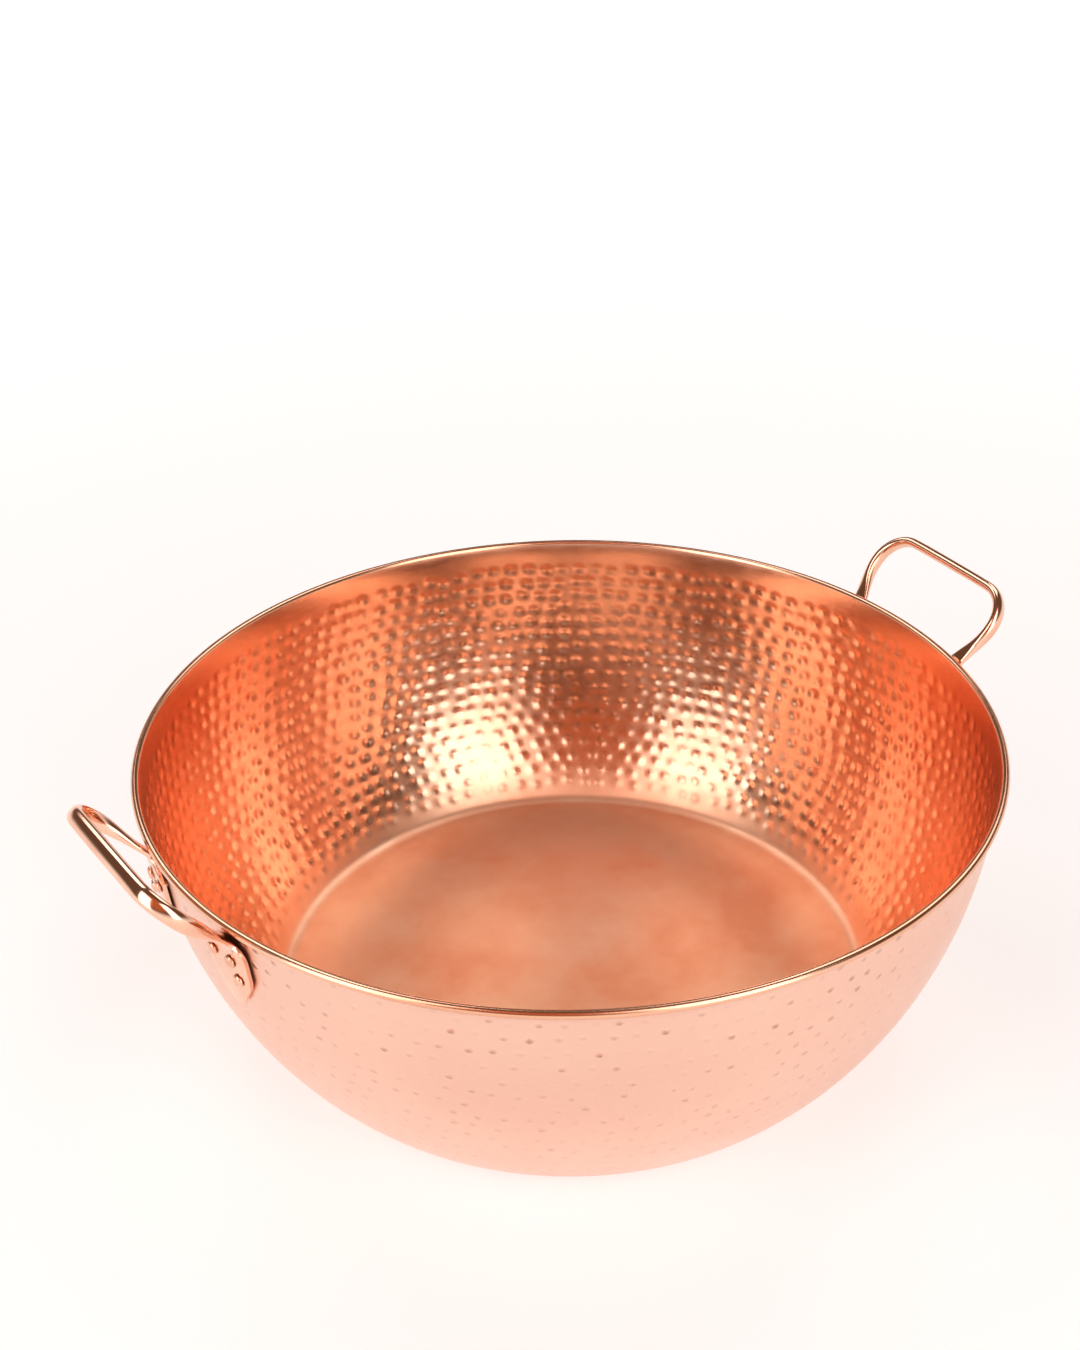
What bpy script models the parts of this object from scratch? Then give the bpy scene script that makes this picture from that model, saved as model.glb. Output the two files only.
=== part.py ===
"""Hammered copper bowl with two riveted loop handles.

The bowl is one raised copper sheet: a flat base, a flaring wall and a rim that
is curled outwards over a wire. Each handle is one forged bar. Its bar and legs
are oval, and both legs end in a thin shield-shaped plate that lies against the
wall under the rim and is held by three rivets.

Frame: metres, +Z up, origin at the centre of the underside of the base. The
handles point along +X and -X, both turned a little towards -Y.
"""

import math

import bmesh
import bpy
import numpy as np

MM = 0.001
GAP = 0.35 * MM                    # clearance between neighbouring pieces

# Bowl
RIM_RADIUS = 225.0 * MM            # centre of the rim bead
BOWL_HEIGHT = 158.6 * MM           # table to the centre of the bead
SHEET = 1.2 * MM
BEAD_RADIUS = 2.1 * MM
CURL_END = math.radians(-104.0)    # where the curled edge stops, short of the wall
NECK = 1.4 * MM                    # the wall steps in this much just under the bead
NECK_REACH = 6.0 * MM
WALL_FLARE = 51.3 * MM             # inward curve of the wall, growing with depth squared
WALL_TUCK = 6.4 * MM               # extra tuck near the base, with depth to the sixth power
FOOT_FILLET = 12.0 * MM
FILLET_STEPS = 4
TURN_STEPS = 96
WIRE_RADIUS = BEAD_RADIUS - SHEET - 0.3 * MM

# Handles
HANDLE_TURN = math.radians(3.3)    # from the X axis towards -Y
RISE = math.radians(49.4)          # slope of the loop above the horizontal
HALF_SPAN = 50.7 * MM              # middle of the loop to the middle of a leg
LOOP_LENGTH = 41.4 * MM            # rim height to the middle of the bar, up the slope
CORNER_RADIUS = 19.4 * MM
BAR_HALF_WIDTH = 2.9 * MM          # within the plane of the loop
BAR_HALF_DEPTH = 4.4 * MM          # across that plane
LEG_LEAN = 8.5 * MM                # how far a leg leans to the middle on its way down
LEAN_TOP = 20.0 * MM               # up the slope, where the lean starts
FOOT_HALF_WIDTH = 5.6 * MM         # of a leg where it meets its plate
BEND_DROP = 8.6 * MM               # rim height down to the bend between leg and plate
BEND_LENGTH = 3.5 * MM
PLATE_HALF_DEPTH = 1.65 * MM
PLATE_HALF_WIDTH = 14.6 * MM
PLATE_INSET = 4.3 * MM             # middle of the plate from the middle of the leg's foot
PLATE_BOTTOM = 47.0 * MM           # rim height down to the tip of the plate
PLATE_CORNER = 31.0 * MM           # rim height down to the corners of the shield
PLATE_SHOULDER = 12.0 * MM         # rim height down to the full width of the plate
TIP_HALF_WIDTH = 4.0 * MM
PLATE_STATIONS = (47.0, 46.0, 42.0, 36.5, 31.0, 26.0, 20.0, 15.0)   # sections, mm below the rim
SECTION_POINTS = 14

# Rivets, placed from the middle of a plate as (away from the loop's middle, down from the rim)
RIVET_PLACES = {
    "upper_inner": (-9.0 * MM, 18.5 * MM),
    "upper_outer": (4.0 * MM, 19.2 * MM),
    "lower": (7.0 * MM, 29.3 * MM),
}
SHANK_RADIUS = 2.0 * MM
HEAD_RADIUS = 3.6 * MM
HEAD_EDGE = 0.3 * MM               # upright edge under the dome of a head
HEAD_HEIGHT = 1.3 * MM
DRILL_REACH = 5.0 * MM
RIVET_SIDES = 14

COPPER_BRIGHT = (0.86, 0.40, 0.22, 1.0)
COPPER_BAR = (0.80, 0.42, 0.27, 1.0)
COPPER_RIVET = (0.74, 0.36, 0.22, 1.0)
WIRE_STEEL = (0.46, 0.44, 0.42, 1.0)


def clear_scene():
    for thing in list(bpy.data.objects):
        bpy.data.objects.remove(thing, do_unlink=True)


def metal(name, colour, roughness):
    material = bpy.data.materials.new(name)
    material.use_nodes = True
    shader = material.node_tree.nodes["Principled BSDF"]
    shader.inputs["Base Color"].default_value = colour
    shader.inputs["Metallic"].default_value = 1.0
    shader.inputs["Roughness"].default_value = roughness
    return material


def add_object(name, mesh, material):
    thing = bpy.data.objects.new(name, mesh)
    bpy.context.scene.collection.objects.link(thing)
    mesh.materials.append(material)
    mesh.shade_smooth()
    mesh.set_sharp_from_angle(angle=math.radians(40.0))
    return thing


def mesh_from_rings(name, stacks):
    """Skin each stack of equal rings into a closed body with a flat face on both ends."""
    shell = bmesh.new()
    for rings in stacks:
        rows = [[shell.verts.new(point) for point in ring] for ring in rings]
        shell.faces.new(rows[0])
        shell.faces.new(rows[-1])
        for lower, upper in zip(rows, rows[1:]):
            for i in range(len(lower)):
                j = (i + 1) % len(lower)
                shell.faces.new((lower[i], lower[j], upper[j], upper[i]))
    bmesh.ops.recalc_face_normals(shell, faces=shell.faces)
    mesh = bpy.data.meshes.new(name)
    shell.to_mesh(mesh)
    shell.free()
    return mesh


def spin_profile(name, profile):
    """Turn a closed (radius, height) outline round Z; points on the axis are shared."""
    shell = bmesh.new()
    rows = []
    for radius, height in profile:
        if radius < 1e-6:
            rows.append([shell.verts.new((0.0, 0.0, height))] * TURN_STEPS)
            continue
        ring = []
        for k in range(TURN_STEPS):
            angle = 2.0 * math.pi * k / TURN_STEPS
            ring.append(shell.verts.new((radius * math.cos(angle), radius * math.sin(angle), height)))
        rows.append(ring)
    for row, next_row in zip(rows, rows[1:] + rows[:1]):
        for k in range(TURN_STEPS):
            j = (k + 1) % TURN_STEPS
            corners = dict.fromkeys((row[k], row[j], next_row[j], next_row[k]))
            if len(corners) > 2:
                shell.faces.new(tuple(corners))
    bmesh.ops.recalc_face_normals(shell, faces=shell.faces)
    mesh = bpy.data.meshes.new(name)
    shell.to_mesh(mesh)
    shell.free()
    return mesh


def wall_radius(drop):
    """Outer radius of the wall at a height of drop below the middle of the bead."""
    depth = drop / BOWL_HEIGHT
    neck = NECK * (1.0 - math.exp(-drop / NECK_REACH))
    top = RIM_RADIUS - BEAD_RADIUS + SHEET
    return top - neck - WALL_FLARE * depth ** 2 - WALL_TUCK * depth ** 6


def wall_slope(drop):
    """How much the radius shrinks for each metre further down."""
    step = 0.5 * MM
    return (wall_radius(drop) - wall_radius(drop + step)) / step


def outer_profile():
    """Outside of the sheet from the wall's top down to the middle of the base."""
    points = []
    foot_angle = math.atan(wall_slope(BOWL_HEIGHT - 4.0 * MM))
    corner = 0.5 * math.pi - foot_angle
    tangent = FOOT_FILLET * math.tan(0.5 * corner)
    last_drop = BOWL_HEIGHT - tangent * math.cos(foot_angle)
    for part in np.linspace(0.0, 1.0, 12):
        drop = last_drop * part ** 1.4
        points.append((wall_radius(drop), BOWL_HEIGHT - drop))
    centre_radius = wall_radius(BOWL_HEIGHT) - tangent
    for k in range(1, FILLET_STEPS + 1):
        angle = (1.0 - k / FILLET_STEPS) * corner
        points.append((centre_radius + FOOT_FILLET * math.sin(angle),
                       FOOT_FILLET * (1.0 - math.cos(angle))))
    points.append((0.0, 0.0))
    return points


def offset_inwards(points):
    """The outline moved by one sheet thickness to the inside of the bowl."""
    moved = []
    line = np.array(points)
    for k, point in enumerate(line):
        before = line[max(k - 1, 0)]
        after = line[min(k + 1, len(line) - 1)]
        along = (after - before) / np.linalg.norm(after - before)
        if k == 0:
            along = np.array((0.0, -1.0))
        if k == len(line) - 1:
            along = np.array((-1.0, 0.0))
        moved.append((point[0] + along[1] * SHEET, point[1] - along[0] * SHEET))
    moved[-1] = (0.0, SHEET)
    return moved


def bead_arc(radius, start, end, count):
    return [(RIM_RADIUS + radius * math.cos(a), BOWL_HEIGHT + radius * math.sin(a))
            for a in np.linspace(start, end, count)]


def make_bowl(material):
    outside = outer_profile()
    inside = offset_inwards(outside)
    over_the_top = bead_arc(BEAD_RADIUS, math.pi, CURL_END, 12)
    under_the_curl = bead_arc(BEAD_RADIUS - SHEET, CURL_END, math.pi, 9)
    profile = inside[::-1][:-1] + over_the_top + under_the_curl[:-1] + outside
    return add_object("bowl", spin_profile("bowl", profile), material)


def make_rim_wire(material):
    ring = [(RIM_RADIUS + WIRE_RADIUS * math.cos(a), BOWL_HEIGHT + WIRE_RADIUS * math.sin(a))
            for a in np.linspace(0.0, 2.0 * math.pi, 6, endpoint=False)]
    return add_object("rim_wire", spin_profile("rim_wire", ring), material)


def smooth_step(low, high, value):
    part = min(max((value - low) / (high - low), 0.0), 1.0)
    return part * part * (3.0 - 2.0 * part)


def unit(vector):
    return vector / np.linalg.norm(vector)


class HandleFrame:
    """Directions of one handle: out from the bowl, sideways, up the slope and across it."""

    def __init__(self, azimuth):
        self.azimuth = azimuth
        self.out = np.array((math.cos(azimuth), math.sin(azimuth), 0.0))
        self.side = np.array((-math.sin(azimuth), math.cos(azimuth), 0.0))
        up = np.array((0.0, 0.0, 1.0))
        self.slope = self.out * math.cos(RISE) + up * math.sin(RISE)
        self.across = self.out * math.sin(RISE) - up * math.cos(RISE)
        bend_radius = wall_radius(BEND_DROP) + GAP + PLATE_HALF_DEPTH
        foot_span = HALF_SPAN - LEG_LEAN
        bend_reach = math.sqrt(bend_radius ** 2 - foot_span ** 2)
        self.leg_turn = math.atan2(foot_span, bend_reach)
        self.rim_reach = bend_reach + BEND_DROP / math.tan(RISE)

    def loop_point(self, sideways, along):
        point = self.out * self.rim_reach + self.side * sideways + self.slope * along
        return point + np.array((0.0, 0.0, BOWL_HEIGHT))

    def leg_point(self, leg, along):
        """The middle line of a leg, which leans to the middle of the loop near its foot."""
        foot = -BEND_DROP / math.sin(RISE)
        lean = LEG_LEAN * (1.0 - smooth_step(foot, LEAN_TOP, along))
        return self.loop_point(leg * (HALF_SPAN - lean), along)

    def wall_point(self, leg, outwards, drop, lift):
        """A point lift above the wall, outwards from the line straight under a leg's foot."""
        radius = wall_radius(drop)
        azimuth = self.azimuth + leg * (self.leg_turn + outwards / radius)
        tilt = math.atan(wall_slope(drop))
        out = np.array((math.cos(azimuth), math.sin(azimuth), 0.0))
        normal = out * math.cos(tilt) - np.array((0.0, 0.0, math.sin(tilt)))
        side = np.array((-math.sin(azimuth), math.cos(azimuth), 0.0))
        foot = out * radius + np.array((0.0, 0.0, BOWL_HEIGHT - drop))
        return foot + normal * lift, side, normal


def section_ring(centre, wide, deep, half_width, half_depth, power, sag):
    """A squared oval; sag bends it round the wall by lowering its two sides."""
    ring = []
    for angle in np.linspace(0.0, 2.0 * math.pi, SECTION_POINTS, endpoint=False) + 0.2:
        c, s = math.cos(angle), math.sin(angle)
        x = half_width * math.copysign(abs(c) ** (2.0 / power), c)
        y = half_depth * math.copysign(abs(s) ** (2.0 / power), s)
        ring.append(centre + wide * x + deep * (y - sag * x * x / (2.0 * RIM_RADIUS)))
    return ring


def plate_half_width(drop):
    """Outline of the shield: blunt tip, straight sides, shoulders in to the leg."""
    if drop > PLATE_CORNER:
        part = (drop - PLATE_CORNER) / (PLATE_BOTTOM - PLATE_CORNER)
        return PLATE_HALF_WIDTH + (TIP_HALF_WIDTH - PLATE_HALF_WIDTH) * part
    part = smooth_step(BEND_DROP - 1.0 * MM, PLATE_SHOULDER, drop)
    return FOOT_HALF_WIDTH + (PLATE_HALF_WIDTH - FOOT_HALF_WIDTH) * part


def leg_size(along):
    """Half width and half depth of the bar, by distance up the slope from rim height."""
    widening = smooth_step(-10.0 * MM, 18.0 * MM, along)
    width = FOOT_HALF_WIDTH + (BAR_HALF_WIDTH - FOOT_HALF_WIDTH) * widening
    deepening = smooth_step(-5.0 * MM, 20.0 * MM, along)
    depth = PLATE_HALF_DEPTH + (BAR_HALF_DEPTH - PLATE_HALF_DEPTH) * deepening
    return width, depth


def half_handle(frame, leg):
    """Sections from the tip of one plate up to the middle of the bar (leg is -1 or +1)."""
    rings = []
    middle = GAP + PLATE_HALF_DEPTH
    for drop in np.array(PLATE_STATIONS) * MM:
        centre, side, normal = frame.wall_point(leg, -PLATE_INSET, drop, middle)
        rings.append(section_ring(centre, side * leg, normal, plate_half_width(drop),
                                  PLATE_HALF_DEPTH, 5.0, 1.0))

    plate_top = BEND_DROP + BEND_LENGTH
    start, start_side, start_normal = frame.wall_point(leg, -0.7 * PLATE_INSET, plate_top, middle)
    turn, _, _ = frame.wall_point(leg, 0.0, BEND_DROP, middle)
    root = -BEND_DROP / math.sin(RISE)
    end = frame.leg_point(leg, root + BEND_LENGTH)
    for part in np.linspace(0.25, 1.0, 4):
        path = (1 - part) ** 2 * start + 2 * part * (1 - part) * turn + part ** 2 * end
        wide = unit((1 - part) * start_side + part * frame.side) * leg
        deep = unit((1 - part) * start_normal + part * frame.across)
        width, depth = leg_size(root + part * BEND_LENGTH)
        width += (plate_half_width(PLATE_SHOULDER) - width) * (1 - part) ** 2
        rings.append(section_ring(path, wide, deep, width, depth, 5.0 - 2.0 * part, 1.0 - part))

    leg_top = LOOP_LENGTH - CORNER_RADIUS
    for along in np.linspace(root + 2.0 * BEND_LENGTH, leg_top, 6):
        width, depth = leg_size(along)
        path = frame.leg_point(leg, along)
        power = 3.0 - 0.8 * smooth_step(0.0, 10.0 * MM, along)
        rings.append(section_ring(path, frame.side * leg, frame.across, width, depth, power, 0.0))

    for angle in np.linspace(0.0, 0.5 * math.pi, 8)[1:]:
        sideways = HALF_SPAN - CORNER_RADIUS * (1.0 - math.cos(angle))
        along = leg_top + CORNER_RADIUS * math.sin(angle)
        width, depth = leg_size(along)
        wide = frame.side * (leg * math.cos(angle)) + frame.slope * math.sin(angle)
        lean = LEG_LEAN * (1.0 - smooth_step(root, LEAN_TOP, along)) * math.cos(angle)
        path = frame.loop_point(leg * (sideways - lean), along)
        rings.append(section_ring(path, wide, frame.across, width, depth, 2.2, 0.0))
    return rings


def make_handle(name, frame, material):
    first = half_handle(frame, -1)
    second = half_handle(frame, 1)
    rings = first + second[::-1]
    return add_object(name, mesh_from_rings(name, [rings]), material)


def pin_rings(frame, leg, place, profile):
    """Rings of a pin square to the wall; the profile is (radius, height over the wall)."""
    outwards, drop = place
    base, side, normal = frame.wall_point(leg, outwards - PLATE_INSET, drop, 0.0)
    upright = np.cross(normal, side)
    rings = []
    for radius, height in profile:
        ring = []
        for angle in np.linspace(0.0, 2.0 * math.pi, RIVET_SIDES, endpoint=False):
            spoke = side * math.cos(angle) + upright * math.sin(angle)
            ring.append(base + normal * height + spoke * radius)
        rings.append(ring)
    return rings


def make_rivet(name, frame, leg, place, material):
    """A low domed head on the plate, and a shank hammered flush inside the bowl."""
    seat = 2.0 * (PLATE_HALF_DEPTH + GAP)
    profile = [(SHANK_RADIUS, -SHEET), (SHANK_RADIUS, seat), (HEAD_RADIUS, seat)]
    for angle in np.linspace(0.0, 0.42 * math.pi, 4):
        profile.append((HEAD_RADIUS * math.cos(angle),
                        seat + HEAD_EDGE + HEAD_HEIGHT * math.sin(angle)))
    rings = pin_rings(frame, leg, place, profile)
    return add_object(name, mesh_from_rings(name, [rings]), material)


def drill(target, pins):
    """Cut the holes of several rivets at once, wider than the shanks by the clearance."""
    bore = SHANK_RADIUS + GAP
    profile = [(bore, -DRILL_REACH), (bore, 2.0 * DRILL_REACH)]
    holes = [pin_rings(frame, leg, place, profile) for frame, leg, place in pins]
    cutter = bpy.data.objects.new("cutter", mesh_from_rings("cutter", holes))
    bpy.context.scene.collection.objects.link(cutter)
    cutter.hide_render = True
    cutter.display_type = "WIRE"
    cut = target.modifiers.new("rivet_holes", "BOOLEAN")
    cut.operation = "DIFFERENCE"
    cut.solver = "EXACT"
    cut.object = cutter


def build():
    clear_scene()
    bowl = make_bowl(metal("copper_sheet", COPPER_BRIGHT, 0.22))
    make_rim_wire(metal("wire_steel", WIRE_STEEL, 0.5))
    bar_metal = metal("copper_bar", COPPER_BAR, 0.14)
    rivet_metal = metal("copper_rivet", COPPER_RIVET, 0.3)

    every_pin = []
    for hand, azimuth in (("right", -HANDLE_TURN), ("left", math.pi + HANDLE_TURN)):
        frame = HandleFrame(azimuth)
        handle = make_handle("handle_" + hand, frame, bar_metal)
        front_leg = -1 if hand == "right" else 1
        pins = []
        for leg in (-1, 1):
            end = "front" if leg == front_leg else "rear"
            for place_name, place in RIVET_PLACES.items():
                name = "_".join(("rivet", hand, end, place_name))
                make_rivet(name, frame, leg, place, rivet_metal)
                pins.append((frame, leg, place))
        drill(handle, pins)
        every_pin += pins
    drill(bowl, every_pin)


build()
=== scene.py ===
# %% [markdown]
# # A hammered copper bowl
# The bowl is raised from one copper sheet: a flat satin floor, a small fillet, a
# flaring wall covered with rings of hammer marks, and a rim rolled outwards over a
# wire. Two forged loop handles are riveted under the rim. This lesson starts from
# the plain model of the bowl, gives it real hammer marks and a better handle
# surface, and lights it so that polished copper shows its colours.

import math

import bmesh
import bpy
import numpy as np
from mathutils import Matrix, Vector


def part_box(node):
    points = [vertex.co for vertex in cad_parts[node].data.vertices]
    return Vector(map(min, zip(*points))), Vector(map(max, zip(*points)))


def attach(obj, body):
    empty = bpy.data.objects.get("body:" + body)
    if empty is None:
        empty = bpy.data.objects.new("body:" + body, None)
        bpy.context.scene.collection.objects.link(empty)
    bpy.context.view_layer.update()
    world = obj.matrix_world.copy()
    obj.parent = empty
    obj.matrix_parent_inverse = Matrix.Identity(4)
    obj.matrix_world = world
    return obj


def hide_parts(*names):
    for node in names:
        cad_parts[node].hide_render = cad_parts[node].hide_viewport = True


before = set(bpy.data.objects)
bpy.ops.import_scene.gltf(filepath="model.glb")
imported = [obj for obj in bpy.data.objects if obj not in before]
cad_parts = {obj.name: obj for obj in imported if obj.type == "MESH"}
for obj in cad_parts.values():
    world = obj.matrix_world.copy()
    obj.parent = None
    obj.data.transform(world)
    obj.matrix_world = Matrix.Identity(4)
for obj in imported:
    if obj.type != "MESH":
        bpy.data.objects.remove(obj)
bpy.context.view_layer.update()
MM = 0.001

# %% [markdown]
# ## Sizes
# The model's own box gives the rim. The few sizes that a box cannot
# give, such as the sheet's thickness, are repeated here in metres.

# %% Sizes of the bowl
_, bowl_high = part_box("bowl")
BEAD_RADIUS = 2.1 * MM
SHEET = 1.2 * MM
RIM_RADIUS = bowl_high.x - BEAD_RADIUS
RIM_HEIGHT = bowl_high.z - BEAD_RADIUS
CURL_END = math.radians(-104.0)
NECK, NECK_REACH = 1.4 * MM, 6.0 * MM
WALL_FLARE, WALL_TUCK = 51.3 * MM, 6.4 * MM
FOOT_FILLET = 12.0 * MM
print("rim radius, mm:", round(1000 * RIM_RADIUS, 2), " rim height, mm:", round(1000 * RIM_HEIGHT, 2))

# %% [markdown]
# ## The section of the bowl
# A bowl is a surface of revolution, so all of its form is in one section. The
# wall's radius falls with the square of the depth and a little more near the foot.
# Working the section out with a formula, and not from a drawn curve, means that the
# inside and the outside can be kept one sheet thickness apart everywhere.

# %% Radius of the wall
def wall_radius(drop):
    """Outer radius at a depth under the rim: top - neck step - flare*t^2 - tuck*t^6, t = depth share."""
    share = drop / RIM_HEIGHT
    neck = NECK * (1.0 - np.exp(-drop / NECK_REACH))
    return RIM_RADIUS - BEAD_RADIUS + SHEET - neck - WALL_FLARE * share**2 - WALL_TUCK * share**6


def inward_offset(section, distance):
    """Moves each point of an (r, z) line to its inner side by distance, square to the line's run."""
    run = np.gradient(section, axis=0)
    run /= np.linalg.norm(run, axis=1)[:, None]
    return section + np.stack((run[:, 1], -run[:, 0]), axis=1) * distance


def arc(centre, radius, start, end, count):
    """Points of a circle: centre + radius*(cos a, sin a) for a from start to end."""
    a = np.linspace(start, end, count)
    return np.stack((centre[0] + radius * np.cos(a), centre[1] + radius * np.sin(a)), axis=1)


foot_slope = float((wall_radius(RIM_HEIGHT - 5 * MM) - wall_radius(RIM_HEIGHT - 4 * MM)) / MM)
foot_corner = 0.5 * math.pi - math.atan(foot_slope)
foot_tangent = FOOT_FILLET * math.tan(0.5 * foot_corner)
floor_radius = float(wall_radius(RIM_HEIGHT)) - foot_tangent
wall_drop = RIM_HEIGHT - foot_tangent * math.sin(foot_corner)
print("flat floor radius, mm:", round(1000 * floor_radius, 1))

# %% The outline, from the middle of the floor over the rim to the middle of the underside
WALL_ROWS, OUTSIDE_ROWS = 102, 24
outer_fine = np.linspace(0.0, wall_drop, 400)
outer_wall = np.stack((wall_radius(outer_fine), RIM_HEIGHT - outer_fine), axis=1)
inner_wall = inward_offset(outer_wall, SHEET)
inner_wall[0] = (RIM_RADIUS - BEAD_RADIUS, RIM_HEIGHT)


def resample(line, count):
    """Points at equal steps of length along a line."""
    length = np.concatenate(([0.0], np.cumsum(np.linalg.norm(np.diff(line, axis=0), axis=1))))
    at = np.linspace(0.0, length[-1], count)
    return np.stack([np.interp(at, length, line[:, k]) for k in (0, 1)], axis=1)


fillet_centre = (floor_radius, FOOT_FILLET)
inner_fillet = arc(fillet_centre, FOOT_FILLET - SHEET, -0.5 * math.pi, -0.5 * math.pi + foot_corner, 8)
outer_fillet = arc(fillet_centre, FOOT_FILLET, -0.5 * math.pi, -0.5 * math.pi + foot_corner, 5)
floor_line = np.stack((np.linspace(0.0, floor_radius, 9)[1:-1], np.full(7, SHEET)), axis=1)
under_line = np.stack((np.linspace(0.0, floor_radius, 5)[1:-1], np.zeros(3)), axis=1)
bead = arc((RIM_RADIUS, RIM_HEIGHT), BEAD_RADIUS, math.pi, CURL_END, 12)
curl = arc((RIM_RADIUS, RIM_HEIGHT), BEAD_RADIUS - SHEET, CURL_END, math.pi, 5)
wall_inside = resample(inner_wall, WALL_ROWS)
wall_outside = resample(outer_wall, OUTSIDE_ROWS)

parts = [
    ("floor", floor_line), ("fillet", inner_fillet), ("wall", wall_inside[::-1][1:-1]),
    ("rim", bead), ("curl", curl), ("outside", wall_outside), ("outside", outer_fillet[::-1][1:]),
    ("under", under_line[::-1]),
]
outline = np.concatenate([line for _, line in parts])
zone = np.concatenate([[name] * len(line) for name, line in parts])
print("points in the outline:", len(outline))

# %% [markdown]
# ## Hammer marks
# The smith works round the wall in rings, one blow about every 11 mm, and moves down
# about 9 mm for the next ring. Each blow leaves a shallow round dent. No two land
# quite alike, so every mark gets its own small shift, size and depth from a seeded
# random table. A texture could fake this with shading alone, but true dents also
# bend the reflections at a glancing angle and along the outline, so the marks are
# pressed into the mesh.

# %% Where the marks go
MARK_PITCH = 10.9 * MM
MARK_RADIUS = 3.8 * MM
MARK_DEPTH = 0.60 * MM
PLAIN_BAND = 12.0 * MM
PLAIN_FOOT = 5.0 * MM
ROW_PITCH = 8.9 * MM
rng = np.random.default_rng(7)

wall_length = np.concatenate(([0.0], np.cumsum(np.linalg.norm(np.diff(wall_inside, axis=0), axis=1))))
row_place = np.arange(PLAIN_BAND + 0.5 * ROW_PITCH, wall_length[-1] - PLAIN_FOOT, ROW_PITCH)
row_radius = np.interp(row_place, wall_length, wall_inside[:, 0])
row_count = np.round(2.0 * math.pi * row_radius / MARK_PITCH).astype(int)
table = (len(row_place), row_count.max())
row_start = rng.uniform(0.0, 1.0, len(row_place))
shift_round = rng.normal(0.0, 0.09, table)
shift_down = rng.normal(0.0, 0.08, table) * ROW_PITCH
mark_size = MARK_RADIUS * rng.uniform(0.86, 1.14, table)
mark_depth = MARK_DEPTH * rng.uniform(0.6, 1.2, table)
print("rings of marks:", len(row_place), " marks in all:", int(row_count.sum()))


# %% How deep the dents are at any point of the wall
def dent_depth(angle, place):
    """Deepest dent at each point: depth*(1 - (d/size)^2)^2, d = distance to a mark's middle."""
    turn = angle / (2.0 * math.pi)
    nearest = np.clip(np.rint((place - row_place[0]) / ROW_PITCH).astype(int), 0, len(row_place) - 1)
    deepest = np.zeros(np.broadcast(angle, place).shape)
    for row_step in (-1, 0, 1):
        row = np.clip(nearest + row_step, 0, len(row_place) - 1)
        count = row_count[row]
        along = turn * count - row_start[row]
        for mark_step in (0, 1):
            mark = np.floor(along).astype(int) + mark_step
            own = (row, np.mod(mark, count))
            round_way = (along - mark - shift_round[own]) * MARK_PITCH
            down_way = place - row_place[row] - shift_down[own]
            far = np.clip((round_way**2 + down_way**2) / mark_size[own] ** 2, 0.0, 1.0)
            deepest = np.maximum(deepest, mark_depth[own] * (1.0 - far) ** 2)
    return deepest


# %% [markdown]
# ## Round the rivets
# A rivet's inner end is filed level with the wall and planished over, so no blow
# leaves a dent there. The wall stands a hair proud of the end and hides it. Each
# rivet's own mesh says where its end is, so nothing has to be measured twice.

# %% Where the wall stays smooth
RIVET_CLEAR, RIVET_FADE = 2.8 * MM, 3.2 * MM
RIVET_COVER = 0.16 * MM


def rivet_end(node):
    """Middle of a rivet's inner end.

    It is the mean of the points within half a sheet of the one nearest to the axis.
    """
    flat = np.empty(3 * len(node.data.vertices), dtype=np.float32)
    node.data.vertices.foreach_get("co", flat)
    spots = flat.reshape(-1, 3)
    reach = np.hypot(spots[:, 0], spots[:, 1])
    return spots[reach < reach.min() + 0.5 * SHEET].mean(axis=0)


def smooth_share(angle, place):
    """One on a rivet's end and nought away from it, by a smooth step of the distance over the wall."""
    share = np.zeros(np.broadcast(angle, place).shape)
    for x, y, z in rivet_ends:
        turn_off = np.mod(angle - math.atan2(y, x) + math.pi, 2.0 * math.pi) - math.pi
        down = np.interp(RIM_HEIGHT - z, RIM_HEIGHT - wall_inside[:, 1], wall_length)
        far = np.hypot(turn_off * math.hypot(x, y), place - down)
        step = np.clip((far - RIVET_CLEAR) / RIVET_FADE, 0.0, 1.0)
        share = np.maximum(share, 1.0 - step**2 * (3.0 - 2.0 * step))
    return share


rivet_ends = [rivet_end(node) for name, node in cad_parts.items() if name.startswith("rivet_")]
print("rivet ends on the wall:", len(rivet_ends))

# %% [markdown]
# ## Turning the section
# The outline is turned round the vertical axis in 600 steps. Each point of the inner
# wall is pushed outwards by the depth of its dent, square to the sheet. The two ends
# of the outline lie on the axis, and a fan of triangles closes each of them.

# %% Build the bowl's mesh
TURN_STEPS = 600
turn_angle = np.linspace(0.0, 2.0 * math.pi, TURN_STEPS, endpoint=False)
run = np.gradient(outline, axis=0)
run /= np.linalg.norm(run, axis=1)[:, None]
into_metal = np.stack((run[:, 1], -run[:, 0]), axis=1)
place_down = np.full(len(outline), -1.0)
place_down[zone == "wall"] = wall_length[1:-1][::-1]

depth = np.zeros((len(outline), TURN_STEPS))
on_wall = zone == "wall"
wall_place = place_down[on_wall][:, None]
smooth = smooth_share(turn_angle[None, :], wall_place)
depth[on_wall] = dent_depth(turn_angle[None, :], wall_place) * (1.0 - smooth) - RIVET_COVER * smooth
radius = outline[:, 0][:, None] + depth * into_metal[:, 0][:, None]
height = outline[:, 1][:, None] + depth * into_metal[:, 1][:, None]
points = np.stack((radius * np.cos(turn_angle), radius * np.sin(turn_angle), height), axis=2)
print("deepest dent, mm:", round(1000 * float(depth.max()), 3))


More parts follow.
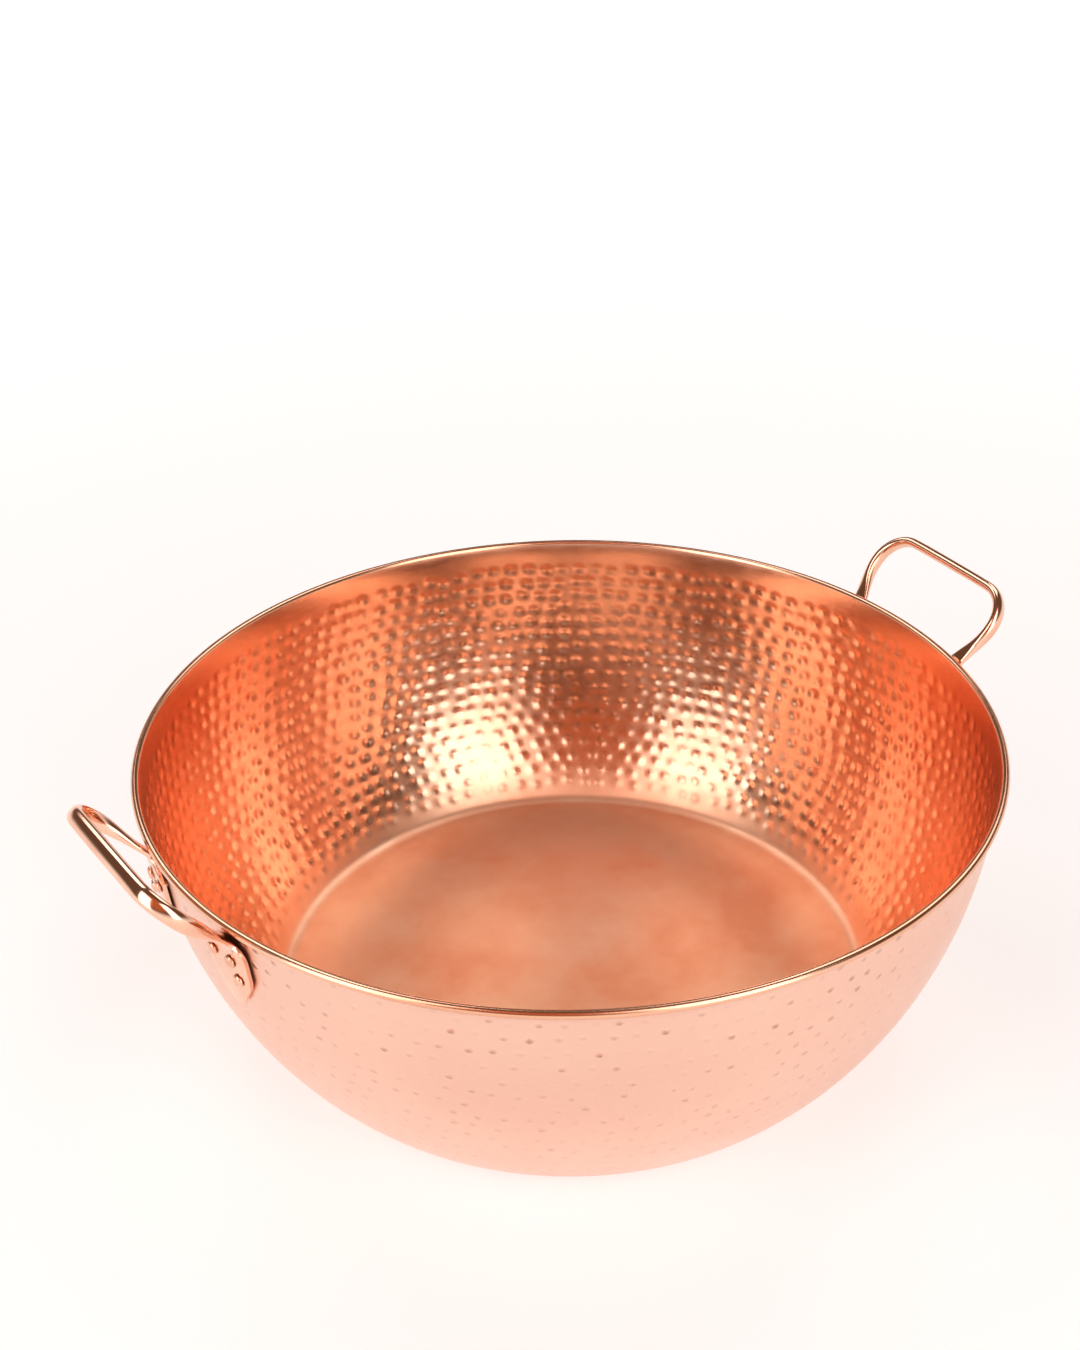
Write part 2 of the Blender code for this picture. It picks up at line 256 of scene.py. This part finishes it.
def turned_mesh(name, points, first_pole, last_pole):
    """Quads between rings of points and a triangle fan at each pole; rings run from floor to underside."""
    rows, steps = points.shape[:2]
    verts = np.concatenate((points.reshape(-1, 3), [first_pole, last_pole]))
    here = np.arange(rows - 1)[:, None] * steps + np.arange(steps)[None, :]
    right = np.arange(rows - 1)[:, None] * steps + np.roll(np.arange(steps), -1)[None, :]
    quads = np.stack((here, right, right + steps, here + steps), axis=2).reshape(-1, 4)
    ring, next_ring = np.arange(steps), np.roll(np.arange(steps), -1)
    top = (rows - 1) * steps
    first = np.stack((next_ring, ring, np.full(steps, rows * steps)), axis=1)
    last = np.stack((top + ring, top + next_ring, np.full(steps, rows * steps + 1)), axis=1)
    mesh = bpy.data.meshes.new(name)
    mesh.from_pydata(verts.tolist(), [], quads.tolist() + first.tolist() + last.tolist())
    mesh.shade_smooth()
    return mesh


bowl_mesh = turned_mesh("bowl_hammered", points, (0.0, 0.0, SHEET), (0.0, 0.0, 0.0))
bowl = bpy.data.objects.new("bowl_hammered", bowl_mesh)
bpy.context.scene.collection.objects.link(bowl)
print("triangles:", sum(len(p.vertices) - 2 for p in bowl_mesh.polygons))

# %% Tell the finish where floor and outside are
FOOT_SATIN, FOOT_FADE = 0.65, 24.0 * MM
floor_share = np.zeros(len(outline))
floor_share[zone == "floor"] = 1.0
floor_share[zone == "fillet"] = np.linspace(1.0, FOOT_SATIN, int((zone == "fillet").sum()))
over_foot = np.clip(1.0 - (wall_length[-1] - place_down[on_wall]) / FOOT_FADE, 0.0, 1.0)
floor_share[on_wall] = FOOT_SATIN * over_foot**2 * (3.0 - 2.0 * over_foot)
outside_share = np.isin(zone, ("outside", "under")).astype(float)
shares = (("floor_share", floor_share, (1.0, 0.0)), ("outside_share", outside_share, (0.0, 1.0)))
for label, share, poles in shares:
    values = np.concatenate((np.repeat(share, TURN_STEPS), poles)).astype(np.float32)
    bowl_mesh.attributes.new(label, "FLOAT", "POINT").data.foreach_set("value", values)
print("attributes:", [a.name for a in bowl_mesh.attributes if a.name.endswith("share")])

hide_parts("bowl")
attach(bowl, "root")

# %% [markdown]
# ## Node groups
# The copper pieces draw on three effects: a tone that wanders slightly, which every
# piece uses, and, on the sheet alone, the fine scratches of polishing and hammer marks
# too shallow to be worth a mesh. Each is built once as a node group with named sockets
# and used with its own values.

# %% Helpers for node trees
def new_group(name, inputs, outputs):
    """An empty shader group with float or colour sockets; returns tree, input node and output node."""
    tree = bpy.data.node_groups.new(name, "ShaderNodeTree")
    kinds = {"float": "NodeSocketFloat", "colour": "NodeSocketColor"}
    for label, kind, value in inputs:
        socket = tree.interface.new_socket(label, in_out="INPUT", socket_type=kinds[kind])
        socket.default_value = value
    for label, kind in outputs:
        tree.interface.new_socket(label, in_out="OUTPUT", socket_type=kinds[kind])
    return tree, tree.nodes.new("NodeGroupInput"), tree.nodes.new("NodeGroupOutput")


def math_node(tree, operation, first, second=None, third=None, clamp=False):
    """One Math node; sockets are linked and numbers are set."""
    node = tree.nodes.new("ShaderNodeMath")
    node.operation = operation
    node.use_clamp = clamp
    for slot, value in enumerate((first, second, third)):
        if value is None:
            continue
        if isinstance(value, (int, float)):
            node.inputs[slot].default_value = value
        else:
            tree.links.new(value, node.inputs[slot])
    return node.outputs[0]


def flat_length(tree, first, second):
    """Square root of first squared plus second squared, as Math nodes."""
    squares = [math_node(tree, "MULTIPLY", side, side) for side in (first, second)]
    return math_node(tree, "SQRT", math_node(tree, "ADD", *squares))


# %% Copper tone: two coppers mixed by slow clouds
def build_copper_tone():
    tree, given, out = new_group(
        "copper_tone",
        [
            ("Bright", "colour", (0.94, 0.58, 0.42, 1)),
            ("Deep", "colour", (0.88, 0.48, 0.32, 1)),
            ("Scale", "float", 9.0),
        ],
        [("Color", "colour"), ("Cloud", "float")],
    )
    place = tree.nodes.new("ShaderNodeTexCoord")
    noise = tree.nodes.new("ShaderNodeTexNoise")
    noise.inputs["Detail"].default_value = 4.0
    noise.inputs["Roughness"].default_value = 0.55
    tree.links.new(place.outputs["Object"], noise.inputs["Vector"])
    tree.links.new(given.outputs["Scale"], noise.inputs["Scale"])
    spread = tree.nodes.new("ShaderNodeMapRange")
    spread.inputs["From Min"].default_value = 0.35
    spread.inputs["From Max"].default_value = 0.65
    tree.links.new(noise.outputs["Fac"], spread.inputs["Value"])
    mix = tree.nodes.new("ShaderNodeMix")
    mix.data_type = "RGBA"
    tree.links.new(spread.outputs["Result"], mix.inputs["Factor"])
    tree.links.new(given.outputs["Bright"], mix.inputs["A"])
    tree.links.new(given.outputs["Deep"], mix.inputs["B"])
    tree.links.new(mix.outputs["Result"], out.inputs["Color"])
    tree.links.new(spread.outputs["Result"], out.inputs["Cloud"])
    return tree


copper_tone = build_copper_tone()


# %% Polishing scratches: noise stretched round the axis
def build_polish_grain():
    tree, given, out = new_group(
        "polish_grain",
        [("Fineness", "float", 900.0), ("Stretch", "float", 0.03)],
        [("Grain", "float")],
    )
    place = tree.nodes.new("ShaderNodeTexCoord")
    split = tree.nodes.new("ShaderNodeSeparateXYZ")
    tree.links.new(place.outputs["Object"], split.inputs[0])
    x, y, z = split.outputs
    reach = flat_length(tree, x, y)
    angle = math_node(tree, "ARCTAN2", y, x)
    turn_x = math_node(tree, "MULTIPLY", math_node(tree, "COSINE", angle), given.outputs["Stretch"])
    turn_y = math_node(tree, "MULTIPLY", math_node(tree, "SINE", angle), given.outputs["Stretch"])
    depth_way = math_node(tree, "SUBTRACT", reach, z)
    join = tree.nodes.new("ShaderNodeCombineXYZ")
    for socket, value in zip(join.inputs, (turn_x, turn_y, depth_way)):
        tree.links.new(value, socket)
    noise = tree.nodes.new("ShaderNodeTexNoise")
    noise.inputs["Detail"].default_value = 3.0
    tree.links.new(join.outputs[0], noise.inputs["Vector"])
    tree.links.new(given.outputs["Fineness"], noise.inputs["Scale"])
    tree.links.new(noise.outputs["Fac"], out.inputs["Grain"])
    return tree


polish_grain = build_polish_grain()


# %% Shallow hammer marks for shading only
ROW_STAGGER = 0.618
LEAST_MARK = 0.4


def build_hammer_marks():
    """A grid of round marks; the mark is (chance + least) * (1 - (d/size)^2)^2, d from its middle."""
    tree, given, out = new_group(
        "hammer_marks",
        [
            ("Marks Round", "float", 120.0),
            ("Row Pitch", "float", 0.0095),
            ("Mark Size", "float", 0.36),
            ("Unevenness", "float", 0.35),
        ],
        [("Mark", "float"), ("Chance", "float")],
    )
    place = tree.nodes.new("ShaderNodeTexCoord")
    split = tree.nodes.new("ShaderNodeSeparateXYZ")
    tree.links.new(place.outputs["Object"], split.inputs[0])
    x, y, z = split.outputs
    angle = math_node(tree, "ARCTAN2", y, x)
    turn = math_node(tree, "ADD", math_node(tree, "DIVIDE", angle, 2.0 * math.pi), 0.5)
    down = math_node(tree, "DIVIDE", z, given.outputs["Row Pitch"])
    row = math_node(tree, "FLOOR", down)
    stagger = math_node(tree, "FRACT", math_node(tree, "MULTIPLY", row, ROW_STAGGER))
    along = math_node(tree, "ADD", math_node(tree, "MULTIPLY", turn, given.outputs["Marks Round"]), stagger)
    column = math_node(tree, "MODULO", math_node(tree, "FLOOR", along), given.outputs["Marks Round"])
    cell = tree.nodes.new("ShaderNodeCombineXYZ")
    tree.links.new(column, cell.inputs[0])
    tree.links.new(row, cell.inputs[1])
    chance = tree.nodes.new("ShaderNodeTexWhiteNoise")
    chance.noise_dimensions = "3D"
    tree.links.new(cell.outputs[0], chance.inputs["Vector"])
    tint = tree.nodes.new("ShaderNodeSeparateColor")
    tree.links.new(chance.outputs["Color"], tint.inputs[0])

    def off_centre(share, random):
        """Distance from a mark's own middle: fraction - 0.5 - (random - 0.5) * unevenness."""
        lean = math_node(tree, "SUBTRACT", random, 0.5)
        shift = math_node(tree, "MULTIPLY", lean, given.outputs["Unevenness"])
        centred = math_node(tree, "SUBTRACT", math_node(tree, "FRACT", share), 0.5)
        return math_node(tree, "SUBTRACT", centred, shift)

    far = flat_length(tree, off_centre(along, tint.outputs[0]), off_centre(down, tint.outputs[1]))
    share = math_node(tree, "DIVIDE", far, given.outputs["Mark Size"])
    inside = math_node(tree, "SUBTRACT", 1.0, math_node(tree, "MULTIPLY", share, share), clamp=True)
    strength = math_node(tree, "ADD", LEAST_MARK, tint.outputs[2])
    mark = math_node(tree, "MULTIPLY", math_node(tree, "MULTIPLY", inside, inside), strength)
    tree.links.new(mark, out.inputs["Mark"])
    tree.links.new(tint.outputs[2], out.inputs["Chance"])
    return tree


hammer_marks = build_hammer_marks()
print("node groups:", [g.name for g in bpy.data.node_groups])

# %% [markdown]
# ## Copper of the bowl
# Polished copper reflects red light almost fully and blue light about half, and each
# further bounce inside a bowl deepens the orange. So the base colour stays pale and
# the inside darkens by itself. The floor is rubbed to a satin, the wall is brighter,
# and the outside carries the faint backs of the hammer marks.

# %% Helpers for materials
def start_material(name):
    """A new material; returns it with its tree and its Principled shader, set to full metal."""
    material = bpy.data.materials.new(name)
    material.use_nodes = True
    tree = material.node_tree
    shader = tree.nodes["Principled BSDF"]
    shader.inputs["Metallic"].default_value = 1.0
    return material, tree, shader


def place_group(tree, group, **values):
    """Puts a node group in a tree and sets its inputs; underscores stand for spaces."""
    node = tree.nodes.new("ShaderNodeGroup")
    node.node_tree = group
    for label, value in values.items():
        node.inputs[label.replace("_", " ")].default_value = value
    return node


def attribute(tree, name):
    node = tree.nodes.new("ShaderNodeAttribute")
    node.attribute_name = name
    return node.outputs["Fac"]


def bump(tree, height, strength, distance, onto=None):
    """A Bump node; distance is the height in metres that a value of one stands for."""
    node = tree.nodes.new("ShaderNodeBump")
    node.inputs["Strength"].default_value = strength
    node.inputs["Distance"].default_value = distance
    tree.links.new(height, node.inputs["Height"])
    if onto is not None:
        tree.links.new(onto, node.inputs["Normal"])
    return node.outputs["Normal"]


def fixed_mix(tree, factor, first, second):
    """A colour mix whose factor is linked; each colour is a fixed colour or a socket."""
    node = tree.nodes.new("ShaderNodeMix")
    node.data_type = "RGBA"
    tree.links.new(factor, node.inputs["Factor"])
    for label, value in (("A", first), ("B", second)):
        if isinstance(value, tuple):
            node.inputs[label].default_value = value
        else:
            tree.links.new(value, node.inputs[label])
    return node.outputs["Result"]


def map_range(tree, value, low, high, first, last, smooth=True):
    """A Map Range node from low..high to first..last, with a smooth step unless told otherwise."""
    node = tree.nodes.new("ShaderNodeMapRange")
    node.interpolation_type = "SMOOTHSTEP" if smooth else "LINEAR"
    for label, number in (("From Min", low), ("From Max", high), ("To Min", first), ("To Max", last)):
        node.inputs[label].default_value = number
    tree.links.new(value, node.inputs["Value"])
    return node.outputs["Result"]


def height_of(tree):
    """Height over the ground at the shaded point, in metres."""
    place = tree.nodes.new("ShaderNodeTexCoord")
    split = tree.nodes.new("ShaderNodeSeparateXYZ")
    tree.links.new(place.outputs["Object"], split.inputs[0])
    return split.outputs[2]


# %% The sheet: a warm wall, a satin floor and a pale outside with painted shade in its marks
WALL_TONE = {"Bright": (0.92, 0.53, 0.36, 1), "Deep": (0.84, 0.43, 0.27, 1), "Scale": 11.0}
OUTSIDE_TONE = {"Bright": (0.92, 0.59, 0.46, 1), "Deep": (0.89, 0.55, 0.43, 1), "Scale": 7.0}
FLOOR_TONE = {"Bright": (0.97, 0.59, 0.39, 1), "Deep": (0.87, 0.39, 0.22, 1), "Scale": 13.0}
OUTSIDE_MARKS = {"Marks_Round": 122.0, "Row_Pitch": 0.0098, "Mark_Size": 0.22, "Unevenness": 0.3}
# Painted shade: a dark brown laid on the backs of the outside hammer marks, strongest near the rim
MARK_SHADE_COLOUR = (0.50, 0.15, 0.06, 1.0)
MARK_SHADE_RARITY, MARK_SHADE_MOST, MARK_SHADE_LEAST = 5.0, 0.34, 0.06
MARK_SHADE_LOW, MARK_SHADE_HIGH, MARK_SHADE_AT_FOOT = 0.075, 0.145, 0.25
WALL_ROUGH, FLOOR_EXTRA, OUTSIDE_EXTRA = 0.18, 0.29, 0.12
GRAIN_ROUGH, CLOUD_ROUGH, ROUGH_BACK = 0.12, 0.08, 0.06
MARK_BUMP, GRAIN_BUMP, GRAIN_SHARE = 0.00045, 0.00003, 0.25


def sheet_material():
    """One material for the whole sheet; the mesh's two shares say where floor and outside are."""
    material, tree, shader = start_material("hammered_copper_sheet")
    warm = place_group(tree, copper_tone, **WALL_TONE)
    pale = place_group(tree, copper_tone, **OUTSIDE_TONE)
    satin = place_group(tree, copper_tone, **FLOOR_TONE)
    grain = place_group(tree, polish_grain, Fineness=700.0, Stretch=0.03)
    marks = place_group(tree, hammer_marks, **OUTSIDE_MARKS)
    floor = attribute(tree, "floor_share")
    outside = attribute(tree, "outside_share")
    inside = fixed_mix(tree, floor, warm.outputs["Color"], satin.outputs["Color"])
    tone = fixed_mix(tree, outside, inside, pale.outputs["Color"])
    # Painted shade in the outside marks: their backs are darkened towards brown, more towards the rim
    rare = math_node(tree, "POWER", marks.outputs["Chance"], MARK_SHADE_RARITY)
    high = map_range(tree, height_of(tree), MARK_SHADE_LOW, MARK_SHADE_HIGH, MARK_SHADE_AT_FOOT, 1.0)
    amount = math_node(tree, "MULTIPLY_ADD", rare, MARK_SHADE_MOST, MARK_SHADE_LEAST)
    painted_shade = math_node(tree, "MULTIPLY", marks.outputs["Mark"], amount)
    painted_shade = math_node(tree, "MULTIPLY", math_node(tree, "MULTIPLY", painted_shade, outside), high, clamp=True)
    tone = fixed_mix(tree, painted_shade, tone, MARK_SHADE_COLOUR)
    tree.links.new(tone, shader.inputs["Base Color"])
    rough = math_node(tree, "MULTIPLY_ADD", floor, FLOOR_EXTRA, WALL_ROUGH)
    rough = math_node(tree, "MULTIPLY_ADD", outside, OUTSIDE_EXTRA, rough)
    rough = math_node(tree, "MULTIPLY_ADD", grain.outputs["Grain"], GRAIN_ROUGH, rough)
    rough = math_node(tree, "MULTIPLY_ADD", satin.outputs["Cloud"], CLOUD_ROUGH, rough)
    rough = math_node(tree, "SUBTRACT", rough, ROUGH_BACK, clamp=True)
    tree.links.new(rough, shader.inputs["Roughness"])
    backs = math_node(tree, "MULTIPLY", marks.outputs["Mark"], outside)
    normal = bump(tree, backs, 1.0, MARK_BUMP)
    normal = bump(tree, grain.outputs["Grain"], GRAIN_SHARE, GRAIN_BUMP, onto=normal)
    tree.links.new(normal, shader.inputs["Normal"])
    return material


bowl_mesh.materials.append(sheet_material())
print("sheet:", bowl_mesh.materials[0].name)

# %% [markdown]
# ## Handles, rivets and wire
# The handles are brighter than the bowl, because bar is polished on a wheel. The
# rivet heads are finished with a few light blows, so they are a little rougher. The
# wire is plain iron and hardly shows, only through the slot under the curl.

# %% Materials of the small pieces
def plain_finish(name, bright, deep, scale, cloud_rough, least_rough):
    """A metal of two mixed tones; roughness = cloud * cloud_rough + least_rough."""
    material, tree, shader = start_material(name)
    tone = place_group(tree, copper_tone, Bright=bright, Deep=deep, Scale=scale)
    tree.links.new(tone.outputs["Color"], shader.inputs["Base Color"])
    rough = math_node(tree, "MULTIPLY_ADD", tone.outputs["Cloud"], cloud_rough, least_rough)
    tree.links.new(rough, shader.inputs["Roughness"])
    return material


bar = plain_finish("polished_copper_bar", (0.95, 0.60, 0.44, 1), (0.88, 0.49, 0.34, 1), 40.0, 0.08, 0.10)
rivet = plain_finish("copper_rivet_head", (0.92, 0.56, 0.40, 1), (0.80, 0.42, 0.28, 1), 160.0, 0.12, 0.20)
wire = plain_finish("drawn_iron_wire", (0.42, 0.40, 0.38, 1), (0.28, 0.26, 0.24, 1), 200.0, 0.15, 0.40)
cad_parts["rim_wire"].material_slots[0].material = wire
print("finishes:", [m.name for m in (bar, rivet, wire)])

# %% [markdown]
# ## Polished skins for handles and rivets
# The plain model's handles and rivets have the right shape, but they are loose flat
# triangles, and polished bar shows every flat. Each gets a skin: a copy whose
# triangles are joined back into four-sided faces, rounded by one subdivision. Edges
# that turn sharply, such as a plate's rim and a rivet hole, are creased and stay
# crisp.

# %% Round the handles and rivets
CRISP_ANGLE = math.radians(48.0)
JOIN_DISTANCE = 0.01 * MM
FLAT_TURN, FLAT_SHAPE = math.radians(12.0), math.radians(60.0)


def polished_skin(node_name, node, material):
    """A rounded copy of a node: points within JOIN_DISTANCE become one, crisp edges are creased."""
    shell = bmesh.new()
    shell.from_mesh(node.data)
    bmesh.ops.remove_doubles(shell, verts=shell.verts, dist=JOIN_DISTANCE)
    bmesh.ops.join_triangles(
        shell, faces=shell.faces, angle_face_threshold=FLAT_TURN, angle_shape_threshold=FLAT_SHAPE
    )
    crease = shell.edges.layers.float.new("crease_edge")
    for edge in shell.edges:
        crisp = edge.calc_face_angle(0.0) > CRISP_ANGLE
        edge[crease] = float(crisp)
        edge.smooth = not crisp
    for face in shell.faces:
        face.smooth = True
    mesh = bpy.data.meshes.new(node_name + "_polished")
    shell.to_mesh(mesh)
    shell.free()
    mesh.materials.clear()
    mesh.materials.append(material)
    piece = bpy.data.objects.new(node_name + "_polished", mesh)
    bpy.context.scene.collection.objects.link(piece)
    rounding = piece.modifiers.new("rounding", "SUBSURF")
    rounding.levels = rounding.render_levels = 1
    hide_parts(node_name)
    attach(piece, "root")
    return piece


skins = []
for name, node in list(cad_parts.items()):
    if name.startswith("handle"):
        skins.append(polished_skin(name, node, bar))
    elif name.startswith("rivet"):
        skins.append(polished_skin(name, node, rivet))
print("skins:", len(skins), " faces:", sum(len(p.data.polygons) for p in skins))

# %% [markdown]
# ## Studio
# Metal shows what is round it, so the studio matters as much as the material. The
# floor glows a little and the walls are pale, which keeps the outside pale. A dim
# warm ceiling and a brown card in front keep the inside from washing out. Two soft
# boxes, front left and front right, give the bright bands on the far wall, and two
# weaker ones behind light the near side. What the camera sees past the floor is
# plain white.

# %% Floor
FLOOR_GLOW = (0.52, 0.95)
GLOW_NEAR, GLOW_FAR = 0.4, 2.5
FLOOR_COLOUR, FLOOR_ROUGH = (0.60, 0.60, 0.595, 1.0), 0.9
FLOOR_REACH, FLOOR_SIDES = 6.0, 96


def studio_floor():
    """A flat disc at the ground: one polygon of FLOOR_SIDES points at FLOOR_REACH from the middle."""
    angle = np.linspace(0.0, 2.0 * math.pi, FLOOR_SIDES, endpoint=False)
    ring = np.stack((FLOOR_REACH * np.cos(angle), FLOOR_REACH * np.sin(angle), np.zeros(FLOOR_SIDES)), axis=1)
    mesh = bpy.data.meshes.new("studio_floor")
    mesh.from_pydata(ring.tolist(), [], [list(range(FLOOR_SIDES))])
    floor = bpy.data.objects.new("studio_floor", mesh)
    bpy.context.scene.collection.objects.link(floor)
    material = bpy.data.materials.new("studio_floor")
    material.use_nodes = True
    tree = material.node_tree
    shader = tree.nodes["Principled BSDF"]
    shader.inputs["Base Color"].default_value = FLOOR_COLOUR
    shader.inputs["Roughness"].default_value = FLOOR_ROUGH
    place = tree.nodes.new("ShaderNodeTexCoord")
    far = tree.nodes.new("ShaderNodeVectorMath")
    far.operation = "LENGTH"
    tree.links.new(place.outputs["Object"], far.inputs[0])
    glow = map_range(tree, far.outputs["Value"], GLOW_NEAR, GLOW_FAR, *FLOOR_GLOW)
    tree.links.new(glow, shader.inputs["Emission Color"])
    shader.inputs["Emission Strength"].default_value = 1.0
    mesh.materials.append(material)
    return floor


print("floor reaches, m:", round(studio_floor().dimensions.x / 2.0, 2))

# %% Lights and surroundings
VIEW_TURN = math.radians(-32.42)


def round_place(turn_degrees, rise_degrees, distance):
    """A point round the rim's middle: turn is from the camera's side, to the camera's right."""
    turn = VIEW_TURN - 0.5 * math.pi + math.radians(turn_degrees)
    rise = math.radians(rise_degrees)
    level = distance * math.cos(rise)
    return Vector((level * math.cos(turn), level * math.sin(turn), RIM_HEIGHT + distance * math.sin(rise)))


def soft_box(name, turn, rise, distance, width, tall, watts):
    """A rectangular area light that faces the middle of the bowl."""
    lamp = bpy.data.lights.new(name, "AREA")
    lamp.shape = "RECTANGLE"
    lamp.size, lamp.size_y, lamp.energy = width, tall, watts
    holder = bpy.data.objects.new(name, lamp)
    holder.location = round_place(turn, rise, distance)
    aim = Vector((0.0, 0.0, 0.5 * RIM_HEIGHT)) - holder.location
    holder.rotation_euler = aim.to_track_quat("-Z", "Y").to_euler()
    holder.visible_camera = False
    bpy.context.scene.collection.objects.link(holder)
    return holder


soft_box("box_front_right", 36.0, 28.0, 1.9, 1.1, 2.0, 18.0)
soft_box("box_front_left", -50.0, 28.0, 1.9, 1.05, 2.0, 17.0)
soft_box("box_back_right", 142.0, 50.0, 1.9, 0.9, 1.2, 8.0)
soft_box("box_back_left", -142.0, 50.0, 1.9, 0.9, 1.2, 8.0)


# %% Walls, ceiling and a brown card in front
WALL_COLOUR = (0.95, 0.945, 0.94, 1.0)
CEILING_COLOUR = (0.13, 0.08, 0.055, 1.0)
CARD_COLOUR = (0.50, 0.15, 0.06, 1.0)
CARD_PLACE = (-9.0, 46.0)
BACKDROP_COLOUR = (1.0, 1.0, 1.0, 1.0)
WALL_TOP, CEILING_START = 0.02, 0.28
CARD_EDGE, CARD_FULL = 0.8, 0.95


def studio_world():
    """Pale walls that turn to a dim warm ceiling with height, and a brown card for copper to mirror."""
    world = bpy.data.worlds.new("studio")
    world.use_nodes = True
    tree = world.node_tree
    way = tree.nodes.new("ShaderNodeTexCoord")
    split = tree.nodes.new("ShaderNodeSeparateXYZ")
    tree.links.new(way.outputs["Generated"], split.inputs[0])
    near = tree.nodes.new("ShaderNodeVectorMath")
    near.operation = "DOT_PRODUCT"
    card_way = round_place(*CARD_PLACE, 1.0) - Vector((0.0, 0.0, RIM_HEIGHT))
    near.inputs[1].default_value = card_way.normalized()
    tree.links.new(way.outputs["Generated"], near.inputs[0])
    height = map_range(tree, split.outputs["Z"], WALL_TOP, CEILING_START, 0.0, 1.0)
    card = map_range(tree, near.outputs["Value"], CARD_EDGE, CARD_FULL, 0.0, 1.0)
    room = fixed_mix(tree, height, WALL_COLOUR, CEILING_COLOUR)
    seen = tree.nodes.new("ShaderNodeLightPath").outputs["Is Camera Ray"]
    mirrored = fixed_mix(tree, card, room, CARD_COLOUR)
    background = tree.nodes["Background"]
    tree.links.new(fixed_mix(tree, seen, mirrored, BACKDROP_COLOUR), background.inputs["Color"])
    background.inputs["Strength"].default_value = 1.0
    bpy.context.scene.world = world


studio_world()
bpy.context.scene.view_settings.view_transform = "Standard"

# %% [markdown]
# ## Camera
# The camera looks down at the bowl from about 32 degrees, from a distance of four rim
# radii, which gives the near rim its wide sweep. The lens is shifted a little so that
# the bowl sits low and left of the middle, with upright lines kept upright.

# %% Camera
CAMERA_RISE = math.radians(31.95)
CAMERA_ROLL = math.radians(-0.79)
CAMERA_DISTANCE = 4.0337 * RIM_RADIUS
SENSOR_WIDTH, LENS = 36.0, 45.81
LENS_SHIFT = (-0.0220, 0.0403)

camera = bpy.data.cameras.new("camera")
camera.sensor_width, camera.lens = SENSOR_WIDTH, LENS
camera.shift_x, camera.shift_y = LENS_SHIFT
camera_holder = bpy.data.objects.new("camera", camera)
back = np.array((0.0, -math.cos(CAMERA_RISE), math.sin(CAMERA_RISE)))
right = np.array((1.0, 0.0, 0.0))
up = np.array((0.0, math.sin(CAMERA_RISE), math.cos(CAMERA_RISE)))
rolled_right = math.cos(CAMERA_ROLL) * right + math.sin(CAMERA_ROLL) * up
rolled_up = math.cos(CAMERA_ROLL) * up - math.sin(CAMERA_ROLL) * right
turned = Matrix.Rotation(VIEW_TURN, 4, "Z")
pose = Matrix.Identity(4)
for column, axis in enumerate((rolled_right, rolled_up, back)):
    for line in range(3):
        pose[line][column] = axis[line]
for line, value in enumerate(back * CAMERA_DISTANCE):
    pose[line][3] = value
camera_holder.matrix_world = Matrix.Translation((0.0, 0.0, RIM_HEIGHT)) @ turned @ pose
bpy.context.scene.collection.objects.link(camera_holder)
bpy.context.scene.camera = camera_holder
print("camera at, m:", [round(v, 3) for v in camera_holder.matrix_world.translation])
